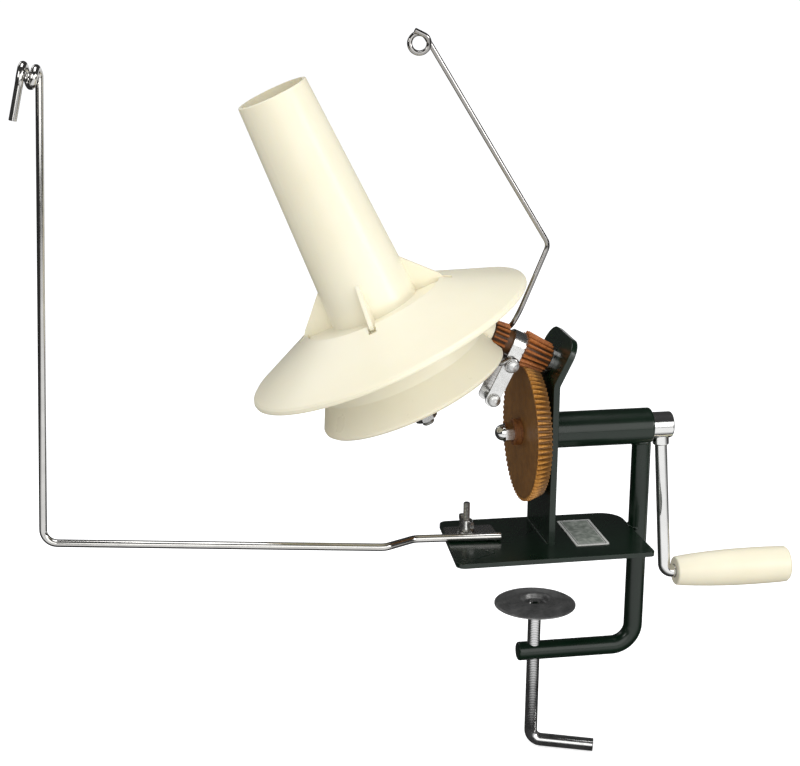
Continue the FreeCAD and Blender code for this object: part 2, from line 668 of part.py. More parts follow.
# ---- 20 spool tube with base flange and four fins
FINS = SPOOL.multiply(FreeCAD.Placement(V(0, 0, 0), FreeCAD.Rotation(V(0, 0, 1), -12.0)))
st = new_body("spool_tube", FINS)
slope = (VAL["top_r"] - VAL["base_r"]) / (VAL["top_s"] + 24.0)
revolve(st, [(7.0, -26.0), (45.6, -26.0), (45.6, -23.6), (D("base_r"), -23.6), (D("top_r"), D("top_s")), (D("top_r") - D("wall"), D("top_s")),
             (D("base_r") - D("wall"), -22.0), (7.0, -22.0)])
for sign in (1, -1):
    for role in ("XZ_Plane", "YZ_Plane"):
        pad(st, role, [(sign * 28.4, 0.7), (sign * (D("fin_r") - 1.6), -19.0), (sign * D("fin_r"), -21.4), (sign * D("fin_r"), -24.0), (sign * 45.0, -25.0), (sign * 28.0, -25.0)],
            D("fin_th"), mid=True)
blend(st, 0.8, ring_at(VAL["top_r"], VAL["top_s"]))
for k in range(3):
    a = math.radians(102 + 120 * k)
    pocket(st, "XY_Plane", [], 40.0, circles=[(14 * math.cos(a), 14 * math.sin(a), 1.6)], mid=True, offset=-24.0)

# ---- 21 spool skirt: shallow cone with a rolled lip and four slots for the fin tips
sk_ = new_body("spool_skirt", FINS)
hr, sr, ss = D("hole_r"), D("skirt_r"), D("skirt_s")
revolve(sk_, [(hr, -21.5), (91.4, -42.6), (93.6, -43.6), (95.1, -44.8), (sr, -ss), (sr - 0.2, -ss - 1.0), (sr - 1.1, -ss - 1.4), (sr - 2.2, -ss - 1.1),
              (92.6, -45.9), (91.2, -45.1), (54.0, -27.6), (44.0, -28.4), (40.0, -28.4), (40.0, -26.05), (hr - 0.3, -26.05), (hr - 0.3, -23.5)])
for sign in (1, -1):
    for role in ("XZ_Plane", "YZ_Plane"):
        pocket(sk_, role, [(sign * 40.0, -15.0), (sign * 53.4, -15.0), (sign * 53.4, -25.9), (sign * 40.0, -25.9)], 5.2, mid=True)

# ---- 22 drive hub: joins the tube's floor to the ring gear, bored for the axle
shub = new_body("spool_hub", SPOOL)
ai = D("axle_r") + D("shaft_fit")
revolve(shub, [(ai, -22.1), (6.95, -22.1), (6.95, -26.02), (24.0, -26.02), (24.0, -29.0), (11.0, -31.0), (11.0, -72.5), (27.0, -77.0), (27.0, -80.03),
               (8.0, -80.03), (8.0, -83.9), (ai, -83.9)])
for k in range(3):
    a = math.radians(90 + 120 * k)
    pocket(shub, "XY_Plane", [], 12.0, circles=[(14 * math.cos(a), 14 * math.sin(a), 1.4)], mid=True, offset=-27.0)
for k in range(3):
    a = math.radians(30 + 120 * k)
    pocket(shub, "XY_Plane", [], 9.0, circles=[(20 * math.cos(a), -20 * math.sin(a), 1.4)], mid=True, offset=-78.0)
for k in range(3):
    a = math.radians(90 + 120 * k)
    o = P + RU * (14 * math.cos(a)) + RV * (14 * math.sin(a)) + AX * -22.0
    b = new_body("hub_screw_%d" % (k + 1), place(o, RU, AX))
    revolve(b, [(0, -8.0), (1.38, -8.0), (1.38, 0.02), (3.0, 0.02), (3.0, 1.3), (2.2, 1.9), (0, 2.1)])
for k in range(3):
    a = math.radians(30 + 120 * k)
    o = P + RU * (20 * math.cos(a)) - RV * (20 * math.sin(a)) - AX * 82.4
    b = new_body("gear_screw_%d" % (k + 1), place(o, RU, AX * -1.0))
    revolve(b, [(0, -6.0), (1.38, -6.0), (1.38, -1.9), (0, -1.9)])

# ---- 23 gear housing: fixed cup below the skirt, cut open where the pinion and flyer pass
hs = new_body("gear_housing", SPOOL)
hn, hf, hw = D("house_r"), D("house_flare"), D("house_wall")
revolve(hs, [(hn, -52.0), (hn, -66.0), (hf + 0.6, -82.6), (hf + 0.4, -84.2), (hf - 0.8, -85.4), (hf - 3.2, -86.2), (9.0, -86.2), (8.4, -97.4), (D("axle_r") + 0.02, -97.4),
             (D("axle_r") + 0.02, -84.35), (hf - hw - 0.9, -84.35), (hn - hw, -66.4), (hn - hw, -52.0)])
hshape = hs.Shape.copy()
bossc = Part.makeCylinder(8.6, 13.0, P + G1 * 82.5, G1)
wallout = hshape.fuse(bossc).removeSplitter()
cutter = Part.makeCylinder(15.0, 40, P + G1 * 95.5, G1)
cutter = cutter.fuse(Part.makeCylinder(300, 200, P + G1 * 103.2, G1))
cutter = cutter.fuse(Part.makeCylinder(VAL["axle_r"] + 0.02, 60, P + G1 * 70, G1))
cutter = cutter.fuse(Part.makeCylinder(7.0, 20.2, P + G1 * 66.0, G1))
house = wallout.cut(cutter)
sol = sorted(house.Solids, key=lambda x: -x.Volume)
house = sol[0]
NODES.remove(hs)
hs.Label = "housing_blank"
feature("gear_housing", house)

# ---- 24 fixed spool axle, nuts and washers on it
sx = new_body("spool_axle", SPOOL)
revolve(sx, [(0, -108.6), (3.2, -108.6), (D("axle_r"), -107.8), (D("axle_r"), -13.6), (3.2, -12.8), (0, -12.8)])
washer("axle_washer_low", place(P - AX * 97.43, RU, AX * -1.0), 8.0, 4.02, 1.2)
hexnut("axle_nut_low", place(P - AX * 98.65, RU, AX * -1.0), 13.0, 4.02, 6.6)
washer("axle_washer_top", place(P - AX * 21.95, RU, AX), 6.6, 4.02, 1.0)
hexnut("axle_nut_top", place(P - AX * 20.93, RU, AX), 12.0, 4.02, 6.0)

# ---- 25 fixed pinion axle through the tab, lock nut in the housing, nut behind the tab
px_ = new_body("pinion_axle", PIN)
revolve(px_, [(0, 80.6), (3.2, 80.6), (D("axle_r"), 81.4), (D("axle_r"), 153.2), (3.2, 154.0), (0, 154.0)])
hexnut("pinion_lock_nut", place(P + G1 * 86.18, UPV, A1), 11.0, 4.02, 4.2)
washer("pinion_washer", place(P + G1 * 138.95, UPV, G1), 9.2, 4.06, 2.5)
hexnut("axle_nut", place(P + G1 * (VAL["face_u"] + VAL["strip_th"] + 0.02), UPV, G1), 12.0, 4.02, 6.0)

# ---- 26 flyer clip: strip round the groove, legs down both sides, closed by two bolts
gr_, ct = VAL["groove_r"] + 0.02, VAL["clip_th"]
ro = gr_ + ct
U0, U1 = 110.4, 119.3
outer = Part.makeCylinder(ro, U1 - U0, V(0, 0, U0), V(0, 0, 1)).fuse(Part.makeBox(42.5, 2 * ro, U1 - U0, V(-42.5, -ro, U0)))
inner = Part.makeCylinder(gr_, U1 - U0 + 2, V(0, 0, U0 - 1), V(0, 0, 1)).fuse(Part.makeBox(60, 2 * gr_, U1 - U0 + 2, V(-60, -gr_, U0 - 1)))
clip = outer.cut(inner)
B1, B2 = (-11.6, 115.0), (-37.6, 115.6)
for bx, bu in (B1, B2):
    clip = clip.cut(Part.makeCylinder(2.05, 60, V(bx, -30, bu), V(0, 1, 0)))
ends = [e for e in clip.Edges if e.Length < ct + 0.05 and e.BoundBox.Center.x < -42.0]
clip = clip.makeFillet(3.6, ends)
feature("flyer_clip", clip, PIN)


def cross_bolt(label, bx, bu, front, back):
    """Bolt along Y through both legs; head on the near side. Near side is +y of the pinion frame."""
    b = new_body(label, place(PIN.multVec(V(bx, 0, bu)), UPV, V(0, -1, 0)))
    revolve(b, [(0, -back), (2.0, -back), (2.0, front), (4.2, front), (4.2, front + 1.6), (3.2, front + 2.6), (0, front + 3.0)])
    return b


FW = VAL["flyer_wire_r"]
cross_bolt("clip_bolt_top", B1[0], B1[1], ro + 2 * FW + 0.1, ro + 6.0)
cross_bolt("clip_bolt_low", B2[0], B2[1], ro + 0.03, ro + 6.0)
hexnut("clip_nut_top", place(PIN.multVec(V(B1[0], -(ro + 0.03), B1[1])), UPV, V(0, 1, 0)), 7.0, 2.02, 3.2)
hexnut("clip_nut_low", place(PIN.multVec(V(B2[0], -(ro + 0.03), B2[1])), UPV, V(0, 1, 0)), 7.0, 2.02, 3.2)
# sleeve between the legs round the lower bolt
b = new_body("clip_spacer", place(PIN.multVec(V(B2[0], -(gr_ - 0.02), B2[1])), UPV, V(0, -1, 0)))
revolve(b, [(2.04, 0), (3.6, 0), (3.6, 2 * gr_ - 0.04), (2.04, 2 * gr_ - 0.04)])

# ---- 27 flyer wire: eye under the top bolt, quarter turn in the groove, two straight runs, open eye at the tip
GR = VAL["groove_r"] + FW + 0.25


uw = 107.65
# eye round the top bolt, outside the near leg
ey = ro + FW + 0.05
er = 2.0 + FW + 0.1
loc = [V(B1[0] + er * math.cos(math.radians(a)), ey, B1[1] + er * math.sin(math.radians(a))) for a in range(206, -61, -19)]
# leave the eye toward smaller u, drop past the near leg and turn under and behind the groove
lead = [V(-12.6, ey - 0.1, 109.0), V(-14.3, 8.6, 107.7), V(-13.6, 4.4, uw - 0.1), V(-11.4, 0.6, uw - 0.05)]
quarter = [V(GR * math.sin(math.radians(a)), GR * math.cos(math.radians(a)), uw) for a in range(-106, -236, -19)]
BEND = V(68.2, 0, 104.8)
TIP = PIN.inverse().multVec(V(-79.4, 0, 334.2))
wpts = loc + lead + quarter + [V(GR + 1.4, -2.6, uw), V(16.0, -0.9, uw - 0.1), V(22.0, -0.15, uw - 0.25), V(27.0, 0.0, uw - 0.45)]
d_in = V(BEND.x - 27.0, 0, BEND.z - (uw - 0.45))
d_in.normalize()
eyec = PIN.inverse().multVec(V(-86.5, 0, 328.2))
# tangent from the bend to the tip eye
ER = 5.95
dv = eyec - BEND
dl = dv.Length
ang = math.asin(ER / dl)
base_ang = math.atan2(dv.x, dv.z)
cands = []
for sg in (1, -1):
    a = base_ang + sg * ang
    d = V(math.sin(a), 0, math.cos(a))
    L = math.sqrt(dl * dl - ER * ER)
    cands.append((BEND + d * L, d))
tp, td = max(cands, key=lambda c: c[0].x)
bend_r = 7.0
phi = d_in.getAngle(td)
tt = bend_r * math.tan(phi / 2)
pa, pb = BEND - d_in * tt, BEND + td * tt
bis = td - d_in
bis.normalize()
pm = BEND + bis * (bend_r / math.cos(phi / 2) - bend_r)
# tip eye: just over one turn, climbing sideways by a little more than the wire, then a short tail
rad = tp - eyec
a0 = math.atan2(rad.x, rad.z)
turn = 1 if (V(math.sin(a0 + 0.1), 0, math.cos(a0 + 0.1)) - V(math.sin(a0), 0, math.cos(a0))).dot(td) > 0 else -1
coil = []
for k in range(0, 8):
    a = a0 + turn * math.radians(56 * k)
    coil.append(eyec + V(ER * math.sin(a), 0, ER * math.cos(a)) + V(0, (2 * FW + 0.25) * (k / 6.4), 0))
last = V(math.cos(a) * turn, 0, -math.sin(a) * turn)
first = V(wpts[1] - wpts[0])
first.normalize()
steps = [(wpts[0], first)] + flow(wpts, first, d_in) + [("line", pa), ("arc", pb), ("line", tp)]
steps += flow(coil, td, last) + [("line", coil[-1] + last * 6.5)]
feature("flyer_wire", round_rod(steps, FW), PIN)

# ---- 28 guide arm: wire on the plate, set sideways, long run, upright, coil and tail
GW = VAL["guide_wire_r"]
GZ = VAL["plate_th"] + GW + 0.25
g_pts = [V(-29.0, -13.6, GZ), V(-86.3, -9.0, GZ), V(-108.2, -21.0, GZ), V(-325.4, 23.6, GZ), V(-316.9, 23.6, 307.0)]


upd = V(g_pts[-1] - g_pts[-2])
upd.normalize()
R_ = 5.7
coilc = g_pts[-1] + V(0, -R_, 0)
cpts = []
for k in range(0, 10):
    a = math.radians(60 * k)
    cpts.append(coilc + V(-7.7 * (k / 6.0), R_ * math.cos(a), R_ * math.sin(a) + 2.1 * (k / 6.0)))
lt = V(-0.206, 0.02, -0.979)
lt.normalize()
ce = cpts[-1]
cpts.append(ce + V(-1.2, 0.05, -6.5))
steps = bent(g_pts, [9.0, 9.0, 9.0]) + flow(cpts, upd, lt) + [("line", cpts[-1] + lt * 21.5)]
feature("guide_arm", round_rod(steps, GW))

# ---- 29 guide strip welded along the wire, turning on the bolt
GCF = place(V(VAL["bolt_x"], VAL["bolt_y"], 0), V(1, 0, 0), V(0, 0, 1))
wy = -12.0 - VAL["bolt_y"]
cl = new_body("guide_clamp", GCF)
zs = VAL["plate_th"] + 0.15
zt = zs + 1.8
pad(cl, "XY_Plane", [(-13.5, wy + 3.6), (19.5, wy + 1.0), (19.5, 11.0), (-13.5, 11.0)], 1.8, offset=zs)
blend(cl, 2.4, lambda e: e.BoundBox.XLength < 0.01 and e.BoundBox.YLength < 0.01 and e.BoundBox.Center.y > 8)
pocket(cl, "XY_Plane", [], 60.0, circles=[(0, 0, 2.25)], mid=True)

# ---- 30 guide bolt, washer and wing nut
BO = place(V(VAL["bolt_x"], VAL["bolt_y"], 0), V(1, 0, 0), V(0, 0, 1))
gb = new_body("guide_bolt", BO)
revolve(gb, [(0, 0.06), (4.0, 0.06), (4.0, 1.6), (2.2, 1.6), (2.2, 25.4), (1.7, 25.9), (0, 25.9)])
washer("guide_washer", place(V(VAL["bolt_x"], VAL["bolt_y"], zt + 0.02), V(1, 0, 0), V(0, 0, 1)), 6.2, 2.26, 1.2)
wn = new_body("wing_nut", place(V(VAL["bolt_x"], VAL["bolt_y"], zt + 1.4), V(-0.13, 0.99, 0), V(0, 0, 1)))
revolve(wn, [(2.25, 0), (5.5, 0), (5.2, 1.6), (3.9, 7.2), (2.25, 7.2)])
for sign in (1, -1):
    pad(wn, "XZ_Plane", [(sign * 3.2, 0.9), (sign * 5.2, 0.6), (sign * 8.6, 1.9), (sign * 10.8, 4.6), (sign * 11.1, 6.8), (sign * 9.8, 8.3), (sign * 7.8, 8.1), (sign * 5.6, 6.1), (sign * 3.2, 5.2)], 2.4, mid=True)

# ---- 31 clamp screw with bent handle, 32 pad, 33 rivet
HZ = -149.2
hv = V(39.2, -15.5, 0)
hl = hv.Length
hv.normalize()
screw = round_rod(bent([V(0, 0, VAL["pad_top"] - 2.95), V(0, 0, HZ), V(hv * (hl + 1.0)) + V(0, 0, HZ - 0.6)], [7.0]), VAL["screw_r"])
neck = Part.makeCylinder(2.6, 2.0, V(0, 0, VAL["pad_top"] - 3.15), V(0, 0, 1))
screw = screw.fuse(neck).removeSplitter()
feature("clamp_screw", screw)
padb = new_body("clamp_pad", IDENT)
pt = D("pad_top")
pr = D("pad_r")
revolve(padb, [(2.66, pt - 2.8), (8.3, pt - 2.8), (9.6, pt - 2.2), (11.0, pt + 0.7), (12.4, pt + 1.3), (16.0, pt + 0.5), (21.5, pt - 0.7), (pr - 1.4, pt - 1.5), (pr, pt - 1.4),
               (pr, pt - 0.6), (pr - 1.0, pt), (21.5, pt + 0.9), (16.0, pt + 2.1), (12.0, pt + 2.9), (10.4, pt + 2.9), (9.6, pt + 2.2), (8.4, pt - 0.6), (7.4, pt - 1.2), (2.66, pt - 1.2)])
rv = new_body("pad_rivet", place(V(0, 0, VAL["pad_top"] - 1.12), V(1, 0, 0), V(0, 0, 1)))
revolve(rv, [(0, 2.4), (1.8, 2.2), (3.4, 1.5), (4.4, 0.4), (4.4, 0.0), (0, 0.0)])

# ---- results
doc.recompute()
bad = []
for o in doc.Objects:
    if "Invalid" in o.State or "Error" in o.State:
        bad.append("%s (%s): %s" % (o.Name, o.Label, o.State))
for o in NODES:
    s = o.Shape
    if s.isNull() or not s.isValid() or s.Volume <= 0 or len(s.Solids) != 1:
        bad.append("%s shape null=%s valid=%s solids=%s" % (o.Label, s.isNull(), s.isNull() or s.isValid(), 0 if s.isNull() else len(s.Solids)))
if bad:
    raise RuntimeError("; ".join(bad))
os.makedirs("parts", exist_ok=True)
for o in NODES:
    o.Shape.exportStep("parts/" + o.Label + ".step")
    bb = o.Shape.BoundBox
    print("%-18s vol %9.1f  x %7.1f %7.1f  y %7.1f %7.1f  z %7.1f %7.1f" % (o.Label, o.Shape.Volume, bb.XMin, bb.XMax, bb.YMin, bb.YMax, bb.ZMin, bb.ZMax))
print("nodes", len(NODES))
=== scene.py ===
import bpy
import bmesh
import math
from mathutils import Vector, Matrix


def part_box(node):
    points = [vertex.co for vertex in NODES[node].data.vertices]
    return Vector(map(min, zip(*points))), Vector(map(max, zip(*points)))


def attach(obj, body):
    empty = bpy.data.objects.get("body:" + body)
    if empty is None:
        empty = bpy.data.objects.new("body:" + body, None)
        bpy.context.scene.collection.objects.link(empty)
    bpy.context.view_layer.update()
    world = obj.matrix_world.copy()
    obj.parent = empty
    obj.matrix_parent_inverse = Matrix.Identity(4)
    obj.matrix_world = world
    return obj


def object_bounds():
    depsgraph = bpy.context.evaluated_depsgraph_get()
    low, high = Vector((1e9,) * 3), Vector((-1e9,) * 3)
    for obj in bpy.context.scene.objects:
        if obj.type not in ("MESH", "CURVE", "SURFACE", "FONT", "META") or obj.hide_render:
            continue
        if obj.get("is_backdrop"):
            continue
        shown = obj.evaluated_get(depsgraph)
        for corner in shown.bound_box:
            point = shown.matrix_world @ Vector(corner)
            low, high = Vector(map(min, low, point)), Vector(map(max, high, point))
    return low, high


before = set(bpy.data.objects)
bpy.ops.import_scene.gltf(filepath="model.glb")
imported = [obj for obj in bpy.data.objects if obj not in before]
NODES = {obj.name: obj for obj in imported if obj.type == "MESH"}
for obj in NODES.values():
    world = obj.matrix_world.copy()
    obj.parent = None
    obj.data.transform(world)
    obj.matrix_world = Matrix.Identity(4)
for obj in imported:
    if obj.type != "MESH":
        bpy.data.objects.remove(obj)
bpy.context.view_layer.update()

# ------------------------------------------------------------------ geometry of the part, metres
CA, SA = math.cos(math.radians(25.6)), math.sin(math.radians(25.6))
G1 = Vector((CA, 0, -SA))
UPV = Vector((SA, 0, CA))
P = Vector((-0.12294, 0, 0.18261))
TH, PS = math.radians(25.06), math.radians(3.71)
AX = Vector((-math.sin(TH) * math.cos(PS), math.sin(PS), math.cos(TH) * math.cos(PS)))
RU = Vector((0.906, 0, 0.424))
RU = (RU - AX * RU.dot(AX)).normalized()
RV = AX.cross(RU)


_lo, _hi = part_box("drive_gear")
CRANK_Z = (_lo[2] + _hi[2]) / 2
_lo, _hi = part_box("crank_grip")
GRIP_Z = (_lo[2] + _hi[2]) / 2


# ------------------------------------------------------------------ material helpers
def new_mat(name):
    m = bpy.data.materials.new(name)
    m.use_nodes = True
    nt = m.node_tree
    for n in list(nt.nodes):
        nt.nodes.remove(n)
    out = nt.nodes.new("ShaderNodeOutputMaterial")
    b = nt.nodes.new("ShaderNodeBsdfPrincipled")
    nt.links.new(b.outputs["BSDF"], out.inputs["Surface"])
    return m, nt, b


def node(nt, kind, **values):
    n = nt.nodes.new(kind)
    for k, v in values.items():
        if k in n.inputs:
            n.inputs[k].default_value = v
        else:
            setattr(n, k, v)
    return n


def coords(nt, rotation=None, location=None, scale=(1, 1, 1)):
    """Object coordinates, which are the part's own frame in metres, turned so that local z lies along an axis."""
    tc = nt.nodes.new("ShaderNodeTexCoord")
    mp = nt.nodes.new("ShaderNodeMapping")
    mp.vector_type = "TEXTURE"
    nt.links.new(tc.outputs["Object"], mp.inputs["Vector"])
    if rotation is not None:
        mp.inputs["Rotation"].default_value = rotation
    if location is not None:
        mp.inputs["Location"].default_value = location
    mp.inputs["Scale"].default_value = scale
    return mp.outputs["Vector"]


def noise(nt, vec, scale, detail=4.0, rough=0.55):
    n = node(nt, "ShaderNodeTexNoise", Scale=scale, Detail=detail, Roughness=rough)
    nt.links.new(vec, n.inputs["Vector"])
    return n.outputs["Fac"]


def ramp(nt, fac, stops):
    r = nt.nodes.new("ShaderNodeValToRGB")
    els = r.color_ramp.elements
    while len(els) < len(stops):
        els.new(0.5)
    for e, (pos, col) in zip(els, stops):
        e.position = pos
        e.color = (col[0], col[1], col[2], 1.0)
    nt.links.new(fac, r.inputs["Fac"])
    return r.outputs["Color"]


def grey(v):
    return (v, v, v)


def remap(nt, fac, lo, hi, a, b):
    m = nt.nodes.new("ShaderNodeMapRange")
    m.inputs["From Min"].default_value = lo
    m.inputs["From Max"].default_value = hi
    m.inputs["To Min"].default_value = a
    m.inputs["To Max"].default_value = b
    nt.links.new(fac, m.inputs["Value"])
    return m.outputs["Result"]


def math_node(nt, op, a, b=None, const=None):
    m = nt.nodes.new("ShaderNodeMath")
    m.operation = op
    nt.links.new(a, m.inputs[0])
    if b is not None:
        nt.links.new(b, m.inputs[1])
    elif const is not None:
        m.inputs[1].default_value = const
    return m.outputs[0]


def bump(nt, bsdf, height, strength, distance, base=None):
    b = nt.nodes.new("ShaderNodeBump")
    b.inputs["Strength"].default_value = strength
    b.inputs["Distance"].default_value = distance
    nt.links.new(height, b.inputs["Height"])
    if base is not None:
        nt.links.new(base, b.inputs["Normal"])
    nt.links.new(b.outputs["Normal"], bsdf.inputs["Normal"])
    return b.outputs["Normal"]


def frame_euler(xd, zd):
    z = Vector(zd).normalized()
    y = z.cross(Vector(xd)).normalized()
    x = y.cross(z)
    return Matrix((x, y, z)).transposed().to_euler("XYZ")


SPOOL_ROT = tuple(frame_euler(RU, AX))
PIN_ROT = tuple(frame_euler(UPV, G1))
CRANK_ROT = tuple(frame_euler((0, 0, 1), (1, 0, 0)))


def radius_from(nt, v):
    """Distance from the local z axis."""
    sep = nt.nodes.new("ShaderNodeSeparateXYZ")
    nt.links.new(v, sep.inputs["Vector"])
    x2 = math_node(nt, "MULTIPLY", sep.outputs["X"], sep.outputs["X"])
    y2 = math_node(nt, "MULTIPLY", sep.outputs["Y"], sep.outputs["Y"])
    return math_node(nt, "SQRT", math_node(nt, "ADD", x2, y2)), sep


def mix_colour(nt, fac, a, b, mode="MIX"):
    m = nt.nodes.new("ShaderNodeMix")
    m.data_type = "RGBA"
    m.blend_type = mode
    nt.links.new(fac, m.inputs["Factor"])
    for socket, val in ((m.inputs[6], a), (m.inputs[7], b)):
        if isinstance(val, tuple):
            socket.default_value = (val[0], val[1], val[2], 1.0)
        else:
            nt.links.new(val, socket)
    return m.outputs[2]


# ------------------------------------------------------------------ materials
def paint_green():
    m, nt, b = new_mat("green_enamel")
    v = coords(nt)
    mottled = noise(nt, v, 38.0, 5.0)
    col = ramp(nt, mottled, [(0.30, (0.0016, 0.0080, 0.0034)), (0.55, (0.0024, 0.0112, 0.0050)), (0.80, (0.0036, 0.0150, 0.0074))])
    nt.links.new(col, b.inputs["Base Color"])
    smudge = noise(nt, v, 14.0, 6.0, 0.6)
    nt.links.new(remap(nt, smudge, 0.3, 0.75, 0.22, 0.36), b.inputs["Roughness"])
    b.inputs["Coat Weight"].default_value = 0.25
    b.inputs["Coat Roughness"].default_value = 0.08
    b.inputs["Specular IOR Level"].default_value = 0.42
    peel = noise(nt, v, 520.0, 2.0)
    wave = noise(nt, v, 90.0, 2.0)
    n1 = bump(nt, b, peel, 0.10, 0.0004)
    bump(nt, b, wave, 0.08, 0.0012, n1)
    return m


def cream_plastic(name="cream_plastic", rot=SPOOL_ROT, loc=(0, 0, 0)):
    m, nt, b = new_mat(name)
    v = coords(nt, rotation=rot, location=loc)
    big = noise(nt, v, 9.0, 4.0)
    col = ramp(nt, big, [(0.30, (0.835, 0.775, 0.590)), (0.55, (0.865, 0.812, 0.645)), (0.80, (0.885, 0.838, 0.680))])
    nt.links.new(col, b.inputs["Base Color"])
    smudge = noise(nt, v, 28.0, 6.0, 0.6)
    nt.links.new(remap(nt, smudge, 0.3, 0.75, 0.27, 0.42), b.inputs["Roughness"])
    b.inputs["Subsurface Weight"].default_value = 0.12
    b.inputs["Subsurface Radius"].default_value = (0.006, 0.004, 0.002)
    b.inputs["Subsurface Scale"].default_value = 1.0
    b.inputs["Specular IOR Level"].default_value = 0.45
    fine = noise(nt, v, 900.0, 2.0)
    slow = noise(nt, v, 45.0, 2.0)
    sep = nt.nodes.new("ShaderNodeSeparateXYZ")
    nt.links.new(v, sep.inputs["Vector"])
    off = math_node(nt, "ABSOLUTE", math_node(nt, "SUBTRACT", math_node(nt, "MULTIPLY", sep.outputs["X"], const=0.57), math_node(nt, "MULTIPLY", sep.outputs["Y"], const=0.82)))
    seam = remap(nt, off, 0.00008, 0.00030, 1.0, 0.0)
    n0 = bump(nt, b, seam, 0.5, 0.00012)
    n1 = bump(nt, b, fine, 0.06, 0.0002, n0)
    bump(nt, b, slow, 0.06, 0.0010, n1)
    return m


def fibre(name, rot, loc, root, tip, dark=1.0, red=1.0, gap_shade_floor=0.50):
    """Machined laminated fibre: cloth layers across the axis, faces darkened as painted shade, tooth ends painted
    lighter and golden as painted light, painted shade deep in the gaps.
    """
    m, nt, b = new_mat(name)
    v = coords(nt, rotation=rot, location=loc)
    stretched = nt.nodes.new("ShaderNodeMapping")
    stretched.inputs["Scale"].default_value = (1.0, 1.0, 14.0)
    nt.links.new(v, stretched.inputs["Vector"])
    layers = noise(nt, stretched.outputs["Vector"], 160.0, 5.0, 0.6)
    cloth = noise(nt, v, 420.0, 4.0, 0.7)
    mix = math_node(nt, "ADD", math_node(nt, "MULTIPLY", layers, const=0.6), math_node(nt, "MULTIPLY", cloth, const=0.4))
    k = dark
    # Face colour: the fibre tone darkened as painted shade on the faces.
    shaded_face_tone = ramp(nt, mix, [(0.32, (0.150 * k, 0.064 * k, 0.0140 * k)), (0.48, (0.212 * k, 0.093 * k, 0.0200 * k)),
                          (0.62, (0.275 * k, 0.125 * k, 0.0270 * k)), (0.80, (0.350 * k, 0.172 * k, 0.0400 * k))])
    g = k * red
    # Tooth colour: the same fibre tone painted lighter and golden as painted light on the tooth ends.
    lit_tooth_tone = ramp(nt, mix, [(0.32, (0.230 * k, 0.088 * g, 0.014 * k)), (0.48, (0.480 * k, 0.205 * g, 0.034 * k)),
                          (0.62, (0.640 * k, 0.310 * g, 0.060 * k)), (0.80, (0.760 * k, 0.430 * g, 0.105 * k))])
    r, sep = radius_from(nt, v)
    span = remap(nt, r, root, tip, 0.0, 1.0)
    # Radial mask: painted shade on the faces inside the tooth root, painted light on the teeth outside it.
    col = mix_colour(nt, remap(nt, r, root - 0.0008, root + 0.0012, 0.0, 1.0), shaded_face_tone, lit_tooth_tone)
    # Painted shade in the tooth gaps: the colour darkens towards the tooth root, down to the given floor value.
    gap_shade = remap(nt, span, 0.05, 0.60, gap_shade_floor, 1.0)
    band = remap(nt, r, root - 0.0012, root, 0.0, 1.0)
    inv = math_node(nt, "SUBTRACT", gap_shade, const=1.0)
    shade = math_node(nt, "ADD", math_node(nt, "MULTIPLY", inv, band), const=1.0)
    hsv = nt.nodes.new("ShaderNodeHueSaturation")
    nt.links.new(col, hsv.inputs["Color"])
    nt.links.new(shade, hsv.inputs["Value"])
    nt.links.new(hsv.outputs["Color"], b.inputs["Base Color"])
    nt.links.new(remap(nt, cloth, 0.3, 0.7, 0.40, 0.60), b.inputs["Roughness"])
    b.inputs["Specular IOR Level"].default_value = 0.4
    ring = nt.nodes.new("ShaderNodeCombineXYZ")
    nt.links.new(math_node(nt, "MULTIPLY", r, const=60.0), ring.inputs["X"])
    turned = noise(nt, ring.outputs["Vector"], 30.0, 4.0, 0.7)
    n0 = bump(nt, b, turned, 0.18, 0.0002)
    n1 = bump(nt, b, layers, 0.22, 0.0003, n0)
    bump(nt, b, cloth, 0.16, 0.0002, n1)
    return m


def metal(name, base, rough, rot=None, scratch=0.12, aniso=0.0, along=12.0, patch=0.05):
    """Bare or plated metal with drawn marks along local z."""
    m, nt, b = new_mat(name)
    v = coords(nt, rotation=rot)
    b.inputs["Metallic"].default_value = 1.0
    spots = noise(nt, v, 60.0, 5.0, 0.6)
    lo = tuple(c * (1 - patch * 2) for c in base)
    nt.links.new(ramp(nt, spots, [(0.35, lo), (0.60, base)]), b.inputs["Base Color"])
    st = nt.nodes.new("ShaderNodeMapping")
    st.inputs["Scale"].default_value = (along, along, 1.0)
    nt.links.new(v, st.inputs["Vector"])
    marks = noise(nt, st.outputs["Vector"], 120.0, 3.0, 0.6)
    nt.links.new(remap(nt, marks, 0.3, 0.7, rough * 0.75, rough * 1.35), b.inputs["Roughness"])
    if aniso:
        b.inputs["Anisotropic"].default_value = aniso
    bump(nt, b, marks, scratch, 0.0002)
    return m


def threaded(name, base, rough, rot, pitch):
    """Metal with a rolled thread drawn round local z, its roots darkened as painted shade."""
    m, nt, b = new_mat(name)
    v = coords(nt, rotation=rot)
    b.inputs["Metallic"].default_value = 1.0
    sep = nt.nodes.new("ShaderNodeSeparateXYZ")
    nt.links.new(v, sep.inputs["Vector"])
    ph = math_node(nt, "MULTIPLY", sep.outputs["Z"], const=1.0 / pitch)
    tri = nt.nodes.new("ShaderNodeMath")
    tri.operation = "PINGPONG"
    tri.inputs[1].default_value = 0.5
    nt.links.new(ph, tri.inputs[0])
    grime = noise(nt, v, 150.0, 4.0)
    # Painted shade: the thread roots are darkened to a third of the metal colour.
    dark = tuple(c * 0.35 for c in base)
    lvl = math_node(nt, "MULTIPLY", tri.outputs[0], const=2.0)
    nt.links.new(ramp(nt, lvl, [(0.0, dark), (0.45, base), (1.0, base)]), b.inputs["Base Color"])
    nt.links.new(remap(nt, grime, 0.3, 0.7, rough, rough * 1.5), b.inputs["Roughness"])
    bump(nt, b, lvl, 0.9, 0.0004)
    return m


